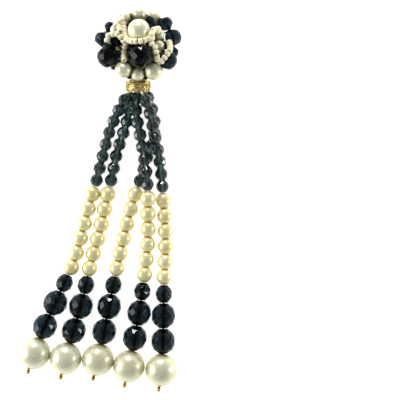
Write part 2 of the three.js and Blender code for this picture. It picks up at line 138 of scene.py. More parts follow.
# Dome and clip, as in the part, then the forms that the clip's strip has here alone.
DOME_RADIUS = 8.6
DOME_RISE = 5.0
DOME_WALL = 0.8
DOME_TILT = math.radians(17)
DOME_HEIGHT = 6.2
DOME_SETBACK = 1.2
SEAT_GAP = 0.3
BASE_RADIUS = 8.2
BASE_THICKNESS = 0.8
STRIP_THICKNESS = 0.9
PADDLE_WIDTH = 5.6
PADDLE_REACH = 5.4
BRIDGE_REACH = 7.6
EYE_RADIUS = 0.95
EYE_WIRE = 0.27
EYE_HEIGHT = 6.3
LINK_PLAY = 0.05
CLIP_EYE_AT = -BRIDGE_REACH - EYE_RADIUS + EYE_WIRE / 2
HEEL_BEND = 1.6
HEEL_SHARE = 0.8
PADDLE_START = 4.0
TIP_LENGTH = 2.9
STRIP_BEVEL = 0.22
PAD_AT = 2.4

# Filigree cap, as in the part. Its outline runs from top to mouth: share of the length, radius.
CAP_LENGTH = 3.9
CAP_TOP = 1.5
CAP_OUTLINE = [(0.0, CAP_TOP), (0.1, 2.35), (0.28, 3.5), (0.55, 3.85), (0.8, 3.8), (1.0, 3.6)]
CAP_HOLE = 0.75
CAP_WALL = 0.45
CAP_DIP = math.radians(14)
CAP_PETALS = 8
CAP_COLLAR = 0.26
CAP_HEM = 0.8
CAP_PIN_BALL = 0.75
RING_POINTS = 32

# Seed beads: sizes, how their threads are drawn taut over the stones, and each chain's route over
# the cluster, in pixels of the photograph.
SEED_RADIUS = 1.0
SEED_LENGTH = 1.35
SEED_BORE = 0.35
SEED_THREAD = 0.14
SEED_PITCH = 1.42
SEED_HEIGHT = 15.0
SEED_SIZES = (0.93, 1.0)
TAUT_STEPS = 250
SAG = 0.0008
SEED_CHAINS = {
    "collar": [
        (123.2, 21.5), (123.8, 27), (124.4, 33), (126.4, 38.6), (131.4, 41.2), (137.4, 41.2),
        (143, 40.7), (148.3, 38.9), (152.5, 36), (152.2, 31.1), (156.1, 29.3), (160.9, 28.4),
    ],
    "right_drop": [
        (152.9, 38.5), (151.8, 43.9), (155.2, 47.6), (156.1, 52.6), (157, 57.7), (157.5, 62),
    ],
    "right_arc": [
        (168.9, 41), (170.1, 47.6), (168.7, 52.2), (165.7, 55.8), (162.5, 60.4), (159, 63),
    ],
    "left_arc": [
        (107.2, 42.5), (107.6, 36.5), (111, 35), (114.5, 33.5), (119.9, 36), (122, 39),
        (125.5, 42.5), (124.4, 47.6), (123.5, 55), (124, 59.5),
    ],
    "upper_left": [(115.8, 27), (116.6, 24), (119, 21.6), (122.4, 19.4), (126.5, 18.6)],
    "inner_left": [(118.6, 25.6), (119.8, 29), (120.6, 32.4)],
}

# How deep threads and wires end in the dome.
ROOT_DEPTH = 0.2

# Small dark beads: places tried for them on the dome, in degrees, and their clearances.
FILLER_WIDTH = 2.6
FILLER_LENGTH = 0.9 * FILLER_WIDTH
FILLER_BORE = 0.3
FILLER_RIM = 0.5
FILLER_BEVEL = 0.05
FILLER_LEANS = range(10, 97, 4)
FILLER_BEARINGS = range(0, 360, 4)
FILLER_LIFT = 0.05
FILLER_PLAY = 0.02

# Nodes of the cluster's stones.
STONES = [
    "centre_pearl", "front_crystal", "left_low_crystal", "left_crystal", "left_pearl",
    "far_left_crystal", "upper_left_crystal", "top_left_pearl", "top_left_crystal", "top_pearl",
    "top_right_crystal", "top_right_pearl", "upper_right_crystal", "right_crystal",
    "right_small_crystal", "lower_right_crystal", "right_pearl", "right_low_pearl",
    "bottom_right_pearl", "bottom_pearl", "bottom_left_pearl",
]

# Camera over the middle of the photograph, looking straight down.
CAMERA_AT = (19.3, -48.9, 300.0)
SENSOR_WIDTH = 36.0
PIXELS_ACROSS = 400
FOCAL_PIXELS = 944

# Lights in metres and watts: place, point aimed at, size, power. Then the bumps' depth in metres and
# the room's colours.
LIGHTS = {
    "left_window": ((-0.5, -0.06, 0.2), (0, -0.06, 0), (0.36, 0.34), 2.2),
    "back_lamp": ((-0.02, 0.42, 0.22), (0, -0.05, 0), (0.11, 0.07), 1.3),
    "right_strip": ((0.5, -0.08, 0.12), (0, -0.06, 0), (0.06, 0.2), 0.7),
}
BUMP_DEPTH = 0.0001
WALLS = (0.95, 0.97, 0.98)
OVERHEAD = (0.22, 0.22, 0.21)
FLOOR_SIZE = 3.0
FLOOR_GLOW = 0.85

Stone = namedtuple("Stone", "centre radius axis length")

chance = random.Random(7)


def turned(direction):
    """Rotation that takes +Z to a direction."""
    return Vector(direction).to_track_quat("Z", "Y").to_matrix().to_4x4()


def placed(centre, direction):
    return Matrix.Translation(Vector(centre)) @ turned(direction)


# Shapes: each is (points, faces, half length along its hole or 0), in millimetres.


def lifted(bm, half=0.0):
    """Take a mesh as it is."""
    bm.verts.index_update()
    points = [vertex.co.copy() for vertex in bm.verts]
    faces = [tuple(vertex.index for vertex in face.verts) for face in bm.faces]
    bm.free()
    return points, faces, half


def shape_of(bm, half=0.0):
    """Take a closed mesh, with its faces turned outwards."""
    bmesh.ops.recalc_face_normals(bm, faces=bm.faces)
    return lifted(bm, half)


def revolved(section, sides, turns=None):
    """Mesh about +Z from a closed section of (radius, height) corners.

    turns[i] is 0 or 0.5, the share of a side by which ring i is turned. Rings turned against each
    other are joined by triangles, which make diamond facets.
    """
    bm = bmesh.new()
    turns = turns or [0] * len(section)
    rings = []
    for (radius, height), turn in zip(section, turns):
        ring = []
        for k in range(sides):
            angle = math.tau * (k + turn) / sides
            ring.append(bm.verts.new((radius * math.cos(angle), radius * math.sin(angle), height)))
        rings.append(ring)
    for i, ring in enumerate(rings):
        above = rings[(i + 1) % len(rings)]
        lean = turns[(i + 1) % len(rings)] - turns[i]
        for k in range(sides):
            a, b = ring[k], ring[(k + 1) % sides]
            d, c = above[k], above[(k + 1) % sides]
            if lean > 0:
                bm.faces.new((a, b, d))
                bm.faces.new((b, c, d))
            elif lean < 0:
                bm.faces.new((a, c, d))
                bm.faces.new((a, b, c))
            else:
                bm.faces.new((a, b, c, d))
    return bm


def cut_bead(width, length, rows, sides, bore, rim, bevel):
    """Faceted glass bead with a bore, its edges bevelled except round the bore."""
    half = length / 2
    radius = width / 2
    section = [(rim, -half)]
    section += [(share * radius, -height * half) for share, height in rows]
    section += [(radius, 0)]
    section += [(share * radius, height * half) for share, height in reversed(rows)]
    section += [(rim, half)]
    turns = [0.5 * (i % 2) for i in range(len(section))]
    section += [(bore, half), (bore, -half)]
    turns += [0, 0]
    bm = revolved(section, sides, turns)
    bmesh.ops.recalc_face_normals(bm, faces=bm.faces)
    flat = []
    for seam in bm.edges:
        if all(len(face.verts) == 3 for face in seam.link_faces) and seam.calc_face_angle() < FLAT_SEAM:
            flat.append(seam)
    bmesh.ops.dissolve_edges(bm, edges=flat, use_verts=False)
    sharp = []
    for seam in bm.edges:
        middle = (seam.verts[0].co + seam.verts[1].co) / 2
        if middle.xy.length > 1.15 * bore and seam.calc_face_angle() > SHARP_SEAM:
            sharp.append(seam)
    corners = list({vertex for seam in sharp for vertex in seam.verts})
    bmesh.ops.bevel(
        bm, geom=sharp + corners, offset=bevel, offset_type="OFFSET", segments=2, profile=0.6,
        affect="EDGES", clamp_overlap=True,
    )
    return shape_of(bm, half)


def round_bead(width, length, sides, bands, bore, mouth):
    """Smooth pearl with a drilled hole, its mouth a little dished."""
    half = length / 2
    radius = width / 2
    start = math.asin(mouth / radius)
    section = []
    for i in range(bands + 1):
        angle = start + (math.pi - 2 * start) * i / bands
        height = -half * math.cos(angle) / math.cos(start)
        section.append((radius * math.sin(angle), height))
    inner = bore + 0.4 * (mouth - bore)
    dish = 0.3 * (mouth - bore)
    section += [(inner, half - 0.1 * dish), (bore, half - dish)]
    section += [(bore, dish - half), (inner, 0.1 * dish - half)]
    return shape_of(revolved(section, sides), half)


def seed_bead():
    """Small ring bead, well rounded so that each one shows on its thread."""
    section = []
    corners = 12
    widest = math.radians(78)
    for i in range(corners + 1):
        angle = widest * (2 * i / corners - 1)
        radius = SEED_BORE + (SEED_RADIUS - SEED_BORE) * (0.12 + 0.88 * math.cos(angle))
        section.append((radius, SEED_LENGTH / 2 * math.sin(angle) / math.sin(widest)))
    section += [(SEED_BORE, 0.4 * SEED_LENGTH), (SEED_BORE, -0.4 * SEED_LENGTH)]
    return shape_of(revolved(section, 20), SEED_LENGTH / 2)


def ball(radius, sides=20, bands=12):
    bm = bmesh.new()
    bmesh.ops.create_uvsphere(bm, u_segments=sides, v_segments=bands, radius=radius)
    return shape_of(bm)


def ring_points(radius, count=RING_POINTS):
    """Points round a circle."""
    angles = [math.tau * k / count for k in range(count)]
    return [(radius * math.cos(angle), radius * math.sin(angle)) for angle in angles]


def catmull(points, samples):
    """Points along a smooth curve through the given ones, the ends included."""
    points = [Vector(point) for point in points]
    route = [2 * points[0] - points[1]] + points + [2 * points[-1] - points[-2]]
    curve = []
    for i in range(len(points) - 1):
        for k in range(samples):
            curve.append(between(route[i:i + 4], k / samples))
    curve.append(points[-1])
    return curve


def between(four, share):
    """Point on the centripetal Catmull-Rom span between the two middle points of four."""
    gaps = [max((four[i + 1] - four[i]).length, 1e-6) ** 0.5 for i in range(3)]
    leave = (four[1] - four[0]) / gaps[0] - (four[2] - four[0]) / (gaps[0] + gaps[1])
    leave = (leave + (four[2] - four[1]) / gaps[1]) * gaps[1]
    reach = (four[2] - four[1]) / gaps[1] - (four[3] - four[1]) / (gaps[1] + gaps[2])
    reach = (reach + (four[3] - four[2]) / gaps[2]) * gaps[1]
    step = four[2] - four[1]
    square = 3 * step - 2 * leave - reach
    cube = leave + reach - 2 * step
    return four[1] + leave * share + square * share ** 2 + cube * share ** 3


def tube(path, radius, sides=8, closed=False):
    """Round wire along a path, with domed ends unless it is closed."""
    path = [Vector(point) for point in path]
    count = len(path)
    bm = bmesh.new()
    across = Vector((0, 0, 1)).orthogonal()
    rings = []
    for i, point in enumerate(path):
        before = path[i - 1] if i or closed else path[0]
        after = path[(i + 1) % count] if i + 1 < count or closed else path[-1]
        along = (after - before).normalized()
        across = across - along * across.dot(along)
        if across.length < 1e-3:
            across = along.orthogonal()
        across.normalize()
        side = along.cross(across)
        ring = []
        for k in range(sides):
            angle = math.tau * k / sides
            out = math.cos(angle) * across + math.sin(angle) * side
            ring.append(bm.verts.new(point + radius * out))
        rings.append(ring)
    pairs = list(zip(rings, rings[1:]))
    if closed:
        first = rings[0]
        last = rings[-1]
        shift = min(range(sides), key=lambda k: (last[0].co - first[k].co).length)
        pairs.append((last, first[shift:] + first[:shift]))
    for ring, after in pairs:
        for k in range(sides):
            bm.faces.new((ring[k], ring[(k + 1) % sides], after[(k + 1) % sides], after[k]))
    if not closed:
        for ring, tip in ((rings[0], path[0] - path[1]), (rings[-1], path[-1] - path[-2])):
            centre = sum((vertex.co for vertex in ring), Vector()) / sides
            peak = bm.verts.new(centre + 0.6 * radius * tip.normalized())
            for k in range(sides):
                bm.faces.new((ring[k], ring[(k + 1) % sides], peak))
    return shape_of(bm)


class Pile:
    """Gathers placed shapes into one mesh, with each bead's tone and nearness to its hole."""

    def __init__(self):
        self.points = []
        self.faces = []
        self.mouth = []
        self.tone = []

    def add(self, shape, matrix=None):
        points, faces, half = shape
        matrix = matrix or Matrix()
        start = len(self.points)
        tone = chance.random()
        for point in points:
            self.points.append(matrix @ point * MM)
            self.mouth.append(min(1.0, abs(point.z) / half) if half else 0.0)
            self.tone.append(tone)
        self.faces += [tuple(start + index for index in face) for face in faces]

    def piece(self, name, material, smooth=True, replaces=()):
        mesh = bpy.data.meshes.new(name)
        mesh.from_pydata(self.points, [], self.faces)
        for label, values in (("mouth", self.mouth), ("tone", self.tone)):
            mesh.attributes.new(label, "FLOAT", "POINT").data.foreach_set("value", values)
        mesh.materials.append(material)
        mesh.polygons.foreach_set("use_smooth", [smooth] * len(mesh.polygons))
        made = bpy.data.objects.new(name, mesh)
        bpy.context.scene.collection.objects.link(made)
        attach(made, "root")
        if replaces:
            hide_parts(*replaces)
        return made


# Materials


def blank(name):
    material = bpy.data.materials.new(name)
    material.use_nodes = True
    tree = material.node_tree
    return material, tree, tree.nodes["Principled BSDF"]


def node(tree, kind, **settings):
    made = tree.nodes.new(kind)
    for key, value in settings.items():
        setattr(made, key, value)
    return made


def set_sockets(made, values):
    for label, value in values.items():
        made.inputs[label].default_value = value


def noise(tree, scale, detail=3.0, distortion=0.0):
    """Noise over the object's own coordinates, in features per metre."""
    place = node(tree, "ShaderNodeTexCoord")
    made = node(tree, "ShaderNodeTexNoise")
    set_sockets(made, {"Scale": scale, "Detail": detail, "Distortion": distortion})
    tree.links.new(place.outputs["Object"], made.inputs["Vector"])
    return made.outputs["Fac"]


def attribute(tree, name):
    made = node(tree, "ShaderNodeAttribute", attribute_name=name)
    return made.outputs["Fac"]


def ranged(tree, value, low, high, to_low=0.0, to_high=1.0):
    made = node(tree, "ShaderNodeMapRange", interpolation_type="SMOOTHSTEP")
    set_sockets(made, {"From Min": low, "From Max": high, "To Min": to_low, "To Max": to_high})
    tree.links.new(value, made.inputs["Value"])
    return made.outputs["Result"]


def mixed(tree, first, second, share):
    """Colour between two colours or sockets, by a socket's share."""
    made = node(tree, "ShaderNodeMix", data_type="RGBA")
    tree.links.new(share, made.inputs[0])
    for value, socket in ((first, made.inputs[6]), (second, made.inputs[7])):
        if isinstance(value, tuple):
            socket.default_value = (*value, 1.0)
        else:
            tree.links.new(value, socket)
    return made.outputs[2]


def bumped(tree, shader, height, strength):
    made = node(tree, "ShaderNodeBump")
    set_sockets(made, {"Strength": strength, "Distance": BUMP_DEPTH})
    tree.links.new(height, made.inputs["Height"])
    tree.links.new(made.outputs["Normal"], shader.inputs["Normal"])


def pearl(name, body, cloud, warm, neck_wear_and_shade, polish):
    """Pearl coat: clouded, a little different on each bead, and yellower towards the hole, where the
    coating has rubbed thin and where shade and the gilt's reflection are painted in at the necks between
    beads.
    """
    material, tree, shader = blank(name)
    colour = mixed(tree, body, cloud, ranged(tree, noise(tree, 260.0, 4.0, 0.6), 0.35, 0.7))
    colour = mixed(tree, colour, warm, ranged(tree, attribute(tree, "tone"), 0.2, 1.0, 0.0, 0.55))
    # Towards the hole the colour turns golden: partly rubbed coating, partly painted shade and gold
    # reflection at the necks where beads touch.
    colour = mixed(tree, colour, neck_wear_and_shade, ranged(tree, attribute(tree, "mouth"), 0.8, 1.0, 0.0, 0.85))
    tree.links.new(colour, shader.inputs["Base Color"])
    rough = ranged(tree, noise(tree, 900.0), 0.3, 0.7, polish, polish + 0.1)
    tree.links.new(rough, shader.inputs["Roughness"])
    set_sockets(shader, {
        "Metallic": 0.35,
        "Specular Tint": (0.8, 0.68, 0.34, 1.0),
        "Coat Weight": 0.35,
        "Coat Roughness": 0.12,
        "Coat IOR": 1.35,
        "Subsurface Weight": 0.08,
        "Subsurface Radius": (0.001, 0.0008, 0.0005),
    })
    bumped(tree, shader, noise(tree, 600.0), 0.02)
    return material


def glass(name, body, streak, index, depth=None):
    """Coloured glass with faint streaks and fine rubbing on its facets.

    index sets how much its facets mirror. depth is the colour that it soaks up and how strongly, for
    glass clear enough to show its hole.
    """
    material, tree, shader = blank(name)
    colour = mixed(tree, body, streak, ranged(tree, noise(tree, 420.0, 3.0, 1.5), 0.45, 0.75))
    tree.links.new(colour, shader.inputs["Base Color"])
    rough = ranged(tree, noise(tree, 1500.0, 5.0), 0.5, 0.8, 0.015, 0.1)
    tree.links.new(rough, shader.inputs["Roughness"])
    set_sockets(shader, {"IOR": index, "Transmission Weight": 1.0})
    bumped(tree, shader, noise(tree, 1800.0), 0.03)
    if depth:
        soak = node(tree, "ShaderNodeVolumeAbsorption")
        set_sockets(soak, {"Color": (*depth[0], 1.0), "Density": depth[1]})
        tree.links.new(soak.outputs["Volume"], tree.nodes["Material Output"].inputs["Volume"])
    return material


def crevices(tree, reach):
    """How open a place is, which sets where shade is painted: 1 in the open, 0 hemmed in between other
    metal.
    """
    made = node(tree, "ShaderNodeAmbientOcclusion", samples=8)
    made.inputs["Distance"].default_value = reach
    return made.outputs["AO"]


def gilt(name, bright, dull, crevice_shade, polish):
    """Gilt brass: rubbed bright, duller in patches, with painted shade in its crevices, and a fine cast
    grain.
    """
    material, tree, shader = blank(name)
    patches = ranged(tree, noise(tree, 700.0, 5.0, 0.4), 0.4, 0.7)
    colour = mixed(tree, bright, dull, patches)
    # Painted shade: the darkest colour is mixed in where ambient occlusion finds the metal hemmed in.
    colour = mixed(tree, crevice_shade, colour, ranged(tree, crevices(tree, 0.0016), 0.3, 0.9))
    tree.links.new(colour, shader.inputs["Base Color"])
    rough = ranged(tree, noise(tree, 1600.0, 4.0), 0.3, 0.7, polish, polish + 0.18)
    tree.links.new(rough, shader.inputs["Roughness"])
    shader.inputs["Metallic"].default_value = 1.0
    bumped(tree, shader, noise(tree, 3500.0, 5.0), 0.18)
    return material


def seed_glaze():
    """Opaque ivory seed bead with a hard gloss, a little pinker on some beads."""
    material, tree, shader = blank("seed_bead_glaze")
    ivory = (0.91, 0.84, 0.59)
    pink = (0.93, 0.8, 0.59)
    cream = (0.87, 0.83, 0.57)
    colour = mixed(tree, ivory, pink, ranged(tree, attribute(tree, "tone"), 0.5, 1.0, 0.0, 0.8))
    colour = mixed(tree, colour, cream, ranged(tree, noise(tree, 900.0), 0.35, 0.65))
    tree.links.new(colour, shader.inputs["Base Color"])
    rough = ranged(tree, noise(tree, 1500.0), 0.3, 0.7, 0.12, 0.26)
    tree.links.new(rough, shader.inputs["Roughness"])
    set_sockets(shader, {
        "Coat Weight": 0.5,
        "Subsurface Weight": 0.1,
        "Subsurface Radius": (0.0008, 0.0006, 0.0004),
    })
    bumped(tree, shader, noise(tree, 3000.0), 0.06)
    return material


def silk(name, light, dark, painted_glow):
    """Beading thread with a fine twist; it can be made to emit light, painted light that stands in for what
    a glass bead gathers along its hole.
    """
    material, tree, shader = blank(name)
    tint = mixed(tree, light, dark, noise(tree, 2600.0, 4.0, 2.0))
    # Painted light: the emission strength, broken up by noise, makes the thread shine inside the glass.
    bright = ranged(tree, noise(tree, 420.0), 0.35, 0.65, 0.1 * painted_glow, painted_glow)
    tree.links.new(tint, shader.inputs["Base Color"])
    set_sockets(shader, {"Roughness": 0.45, "Emission Color": (0.8, 0.95, 0.92, 1.0)})
    tree.links.new(bright, shader.inputs["Emission Strength"])
    bumped(tree, shader, noise(tree, 3200.0), 0.2)
    return material


def floor_paper():
    """White sweep, lit a little from below so that shadows stay faint."""
    material, tree, shader = blank("white_sweep")
    tint = mixed(tree, (0.86, 0.86, 0.86), (0.83, 0.83, 0.83), noise(tree, 30.0))
    tree.links.new(tint, shader.inputs["Base Color"])
    set_sockets(shader, {
        "Roughness": 0.9,
        "Specular IOR Level": 0.1,
        "Emission Color": (1.0, 1.0, 1.0, 1.0),
        "Emission Strength": FLOOR_GLOW,
    })
    return material


seed_glass = seed_glaze()
# Each coat's last colour is rubbed coating with painted shade and gold reflection at the necks.
ivory_pearl = pearl(
    "ivory_pearl_coat", (0.75, 0.75, 0.56), (0.81, 0.79, 0.61), (0.77, 0.74, 0.48), (0.66, 0.52, 0.18), 0.26
)
cream_pearl = pearl(
    "cream_pearl_coat", (0.85, 0.77, 0.43), (0.9, 0.84, 0.51), (0.82, 0.71, 0.34), (0.68, 0.5, 0.14), 0.28
)
teal_glass = glass("teal_glass", (0.6, 0.68, 0.66), (0.7, 0.78, 0.76), 1.56, ((0.32, 0.46, 0.46), 1900.0))
navy_glass = glass("navy_glass", (0.003, 0.009, 0.013), (0.015, 0.042, 0.05), 1.28)
# Each gilt's third colour is the painted shade for its crevices.
bright_gilt = gilt("bright_gilt", (0.74, 0.58, 0.24), (0.55, 0.4, 0.13), (0.06, 0.035, 0.008), 0.22)
clip_gilt = gilt("clip_gilt", (0.62, 0.47, 0.22), (0.46, 0.32, 0.13), (0.05, 0.03, 0.01), 0.26)
# A darker copy of the gilt for the wires down among the stones: painted shade.
shaded_wire_gilt = gilt("shaded_wire_gilt", (0.45, 0.35, 0.18), (0.32, 0.24, 0.1), (0.04, 0.03, 0.01), 0.3)
thread_silk = silk("thread_silk", (0.5, 0.45, 0.33), (0.38, 0.33, 0.24), 0.0)
# The core thread emits light: painted light along the holes of the teal beads.
core_silk = silk("core_silk", (0.86, 0.92, 0.9), (0.72, 0.8, 0.78), 0.5)


# Camera, light and floor


def set_camera():
    data = bpy.data.cameras.new("photo_camera")
    data.sensor_width = SENSOR_WIDTH
    data.lens = FOCAL_PIXELS / PIXELS_ACROSS * SENSOR_WIDTH
    data.clip_start = 0.01
    camera = bpy.data.objects.new("photo_camera", data)
    camera.location = Vector(CAMERA_AT) * MM
    bpy.context.scene.collection.objects.link(camera)
    bpy.context.scene.camera = camera
    bpy.context.scene.view_settings.view_transform = "Standard"


def soft_box(name, at, towards, size, watts):
    """Area light, placed and aimed in metres."""
    data = bpy.data.lights.new(name, "AREA")
    data.shape = "RECTANGLE"
    data.size, data.size_y = size
    data.energy = watts
    lamp = bpy.data.objects.new(name, data)
    lamp.location = at
    lamp.rotation_euler = (Vector(at) - Vector(towards)).to_track_quat("Z", "Y").to_euler()
    bpy.context.scene.collection.objects.link(lamp)


def set_world():
    """Pale room, dark overhead where the photographer and the camera hang over the table."""
    world = bpy.data.worlds.new("studio")
    world.use_nodes = True
    tree = world.node_tree
    place = node(tree, "ShaderNodeTexCoord")
    parts = node(tree, "ShaderNodeSeparateXYZ")
    tree.links.new(place.outputs["Generated"], parts.inputs[0])
    share = ranged(tree, parts.outputs["Z"], 0.1, 0.75)
    colour = mixed(tree, WALLS, OVERHEAD, share)
    tree.links.new(colour, tree.nodes["Background"].inputs["Color"])
    bpy.context.scene.world = world


def set_floor():
    bpy.ops.mesh.primitive_plane_add(size=FLOOR_SIZE)
    floor = bpy.context.object
    floor.name = "white_floor"
    floor.data.materials.append(floor_paper())


set_camera()
set_world()
set_floor()
for light_name, light in LIGHTS.items():
    soft_box(light_name, *light)


# Strands

# The search for a joint halves a stretch of the route this often, and looks this far ahead.
HALVINGS = 40
LONGEST_SHARE = 0.3


def joints_of(route):
    """Holes of the beads along a route: each bead is straight and spans two of these points."""
    spans = [SMALL_CRYSTAL[1]] * CRYSTALS_PER_STRAND + [BEAD_GAP]
    spans += [STRAND_PEARL[1]] * PEARLS_PER_STRAND + [BEAD_GAP, MID_LENGTH]
    spans += [BEAD_GAP, LARGE_LENGTH] * 2 + [BEAD_GAP, END_LENGTH, 2 * BEAD_GAP + PIN_BALL]
    points = [Vector(point) + Vector((0, CLIP_EYE_AT, 0)) for point in route]
    padded = [2 * points[0] - points[1]] + points + [2 * points[-1] - points[-2]]
    last = len(points) - 1

    def point_at(share):
        place = min(share * last, last - 1e-9)
        index = int(place)
        return between(padded[index:index + 4], place - index)

    joints = [points[0], points[1]]
    share = 1 / last
    for span in spans:
        low = share
        high = min(1.0, share + LONGEST_SHARE)
        for _ in range(HALVINGS):
            middle = (low + high) / 2
            if (point_at(middle) - joints[-1]).length < span:
                low = middle
            else:
                high = middle
        share = high
        joints.append(point_at(share))
    return joints


def bead_of(name):
    """Centre, hole axis, width and length of a bead's node in the frame, in millimetres."""
    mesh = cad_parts[name].data
    points = np.array([vertex.co for vertex in mesh.vertices]) / MM
    points = np.unique(np.round(points, 4), axis=0)
    centre = points.mean(axis=0)
    values, vectors = np.linalg.eigh(np.cov((points - centre).T))
    axis = vectors[:, 0] if values[1] - values[0] > values[2] - values[1] else vectors[:, 2]
    along = (points - centre) @ axis
    across = np.linalg.norm(points - centre - np.outer(along, axis), axis=1)
    return Vector(centre), Vector(axis), 2 * across.max(), along.max() - along.min()


def small_crystals(number, joints):
    width = CORNER_REACH * SMALL_CRYSTAL[0]
    pile = Pile()
    for i in range(CRYSTALS_PER_STRAND):
        low, high = joints[i + 1], joints[i + 2]
        length = (high - low).length - CRYSTAL_PLAY
        shape = cut_bead(width, length, SMALL_ROWS, SMALL_SIDES, SMALL_BORE, HOLE_RIM, SMALL_BEVEL)
        spin = Matrix.Rotation(chance.uniform(0, math.tau), 4, "Z")
        pile.add(shape, placed((low + high) / 2, high - low) @ spin)
    pile.piece(
        f"strand_{number}_teal_beads", teal_glass, smooth=False,
        replaces=[f"strand_{number}_crystals"],
    )


def strand_pearls(number, joints):
    pile = Pile()
    first = CRYSTALS_PER_STRAND + 2
    for i in range(PEARLS_PER_STRAND):
        low, high = joints[first + i], joints[first + i + 1]
        width = STRAND_PEARL[0] * chance.uniform(*PEARL_SIZES)
        length = (high - low).length - PEARL_PLAY
        shape = round_bead(width, length, *STRAND_PEARL_MESH, SMALL_BORE, PEARL_NECK)
        pile.add(shape, placed((low + high) / 2, high - low))
    pile.piece(
        f"strand_{number}_cream_pearls", cream_pearl,
        replaces=[f"strand_{number}_pearls"],
    )


def strand_thread(number, joints):
    """Beading wire from the knot in the cap to the last small pearl."""
    last = CRYSTALS_PER_STRAND + PEARLS_PER_STRAND + 2
    path = []
    for low, high in zip(joints[1:last], joints[2:last + 1]):
        path += [low, low.lerp(high, 0.5)]
    path.append(joints[last])
    path[0] = joints[1].lerp(joints[2], 0.2)
    pile = Pile()
    pile.add(tube(path, THREAD_RADIUS))
    pile.piece(f"strand_{number}_thread", core_silk)
    lead = Pile()
    lead.add(tube([joints[0], joints[1], path[0]], LEAD_RADIUS))
    lead.add(ball(KNOT_RADIUS), Matrix.Translation(joints[0]))
    lead.piece(f"strand_{number}_knot", thread_silk)


def single_crystals(number):
    """Middle crystal and two large ones."""
    cuts = (
        ("mid_crystal", SMALL_SIDES, MID_RIM),
        ("large_crystal_1", LARGE_SIDES, LARGE_RIM),
        ("large_crystal_2", LARGE_SIDES, LARGE_RIM),
    )
    for label, sides, rim in cuts:
        name = f"strand_{number}_{label}"
        centre, axis, width, length = bead_of(name)
        pile = Pile()
        spin = Matrix.Rotation(chance.uniform(0, math.tau), 4, "Z")
        width = CORNER_REACH * width
        shape = cut_bead(width, length, LARGE_ROWS, sides, LARGE_BORE, rim, LARGE_BEVEL)
        pile.add(shape, placed(centre, axis) @ spin)
        pile.piece(f"{name}_glass", navy_glass, smooth=False, replaces=[name])


def end_pearl(number):
    name = f"strand_{number}_end_pearl"
    centre, axis, width, length = bead_of(name)
    pile = Pile()
    shape = round_bead(width, length, *END_PEARL_MESH, LARGE_BORE, END_NECK)
    pile.add(shape, placed(centre, axis))
    pile.piece(f"{name}_coated", ivory_pearl, replaces=[name])


def head_pin(number, joints):
    """Pin from the last small pearl through the large beads, ending in a ball and its collar."""
    start = CRYSTALS_PER_STRAND + PEARLS_PER_STRAND + 2
    tip, end = joints[-2], joints[-1]
    along = (end - tip).normalized()
    centre = end - along * PIN_BALL / 2
    head = joints[start] + (joints[start + 1] - joints[start]).normalized() * BEAD_GAP
    pile = Pile()
    pile.add(tube([head] + joints[start + 1:-1] + [centre], PIN_RADIUS, 12))
    pile.add(ball(PIN_BALL / 2, 24, 16), placed(centre, along))
    edge = COLLAR_RADIUS - 0.08
    section = [(PIN_RADIUS, -COLLAR_HALF), (edge, -COLLAR_HALF), (COLLAR_RADIUS, 0)]
    section += [(edge, COLLAR_HALF), (PIN_RADIUS, COLLAR_HALF)]
    pile.add(shape_of(revolved(section, 20)), placed(tip + along * 0.12, along))
    pile.piece(f"strand_{number}_gilt_pin", bright_gilt, replaces=[f"strand_{number}_head_pin"])


for strand_number, strand_route in enumerate(STRAND_ROUTES, 1):
    strand_joints = joints_of(strand_route)
    small_crystals(strand_number, strand_joints)
    strand_pearls(strand_number, strand_joints)
    strand_thread(strand_number, strand_joints)
    single_crystals(strand_number)
    end_pearl(strand_number)
    head_pin(strand_number, strand_joints)


# Cluster

DOME = Matrix.Translation((0, -DOME_SETBACK, DOME_HEIGHT)) @ Matrix.Rotation(-DOME_TILT, 4, "X")


def dome_point(bearing, lean, lift=0.0):
    """Point over the dome in its own frame; angles in radians."""
    around = Vector((math.cos(bearing), math.sin(bearing), 0))
    point = around * DOME_RADIUS * math.sin(lean)
    point.z = DOME_RISE * math.cos(lean)
    normal = around * math.sin(lean) / DOME_RADIUS
    normal.z = math.cos(lean) / DOME_RISE
    return point + lift * normal.normalized()


def dome_angles(place):
    """Bearing and lean, in the dome's own frame, of a place by the dome."""
    local = DOME.inverted() @ place
    bearing = math.atan2(local.y, local.x)
    return bearing, math.atan2(local.xy.length / DOME_RADIUS, local.z / DOME_RISE)


def cluster_stones():
    """A fine bead for each stone of the cluster; returns where they are."""
    stones = []
    for name in STONES:
        centre, axis, width, length = bead_of(name)
        bore = max(1.3 * STONE_WIRE, STONE_BORE * width)
        pile = Pile()
        if name.endswith("pearl"):
            shape = round_bead(width, length, *STONE_PEARL_MESH, bore, STONE_MOUTH * width)
            pile.add(shape, placed(centre, axis))
            pile.piece(f"{name}_coated", ivory_pearl, replaces=[name])
        else:
            spin = Matrix.Rotation(chance.uniform(0, math.tau), 4, "Z")
            small = width < LARGE_CUT_FROM
            rows, sides = (SMALL_ROWS, SMALL_SIDES) if small else (LARGE_ROWS, LARGE_SIDES)
            shape = cut_bead(width, length, rows, sides, bore, STONE_RIM * bore, STONE_BEVEL * width)
            pile.add(shape, placed(centre, axis) @ spin)
            pile.piece(f"{name}_glass", navy_glass, smooth=False, replaces=[name])
        stones.append(Stone(centre, width / 2, axis, length))
    return stones


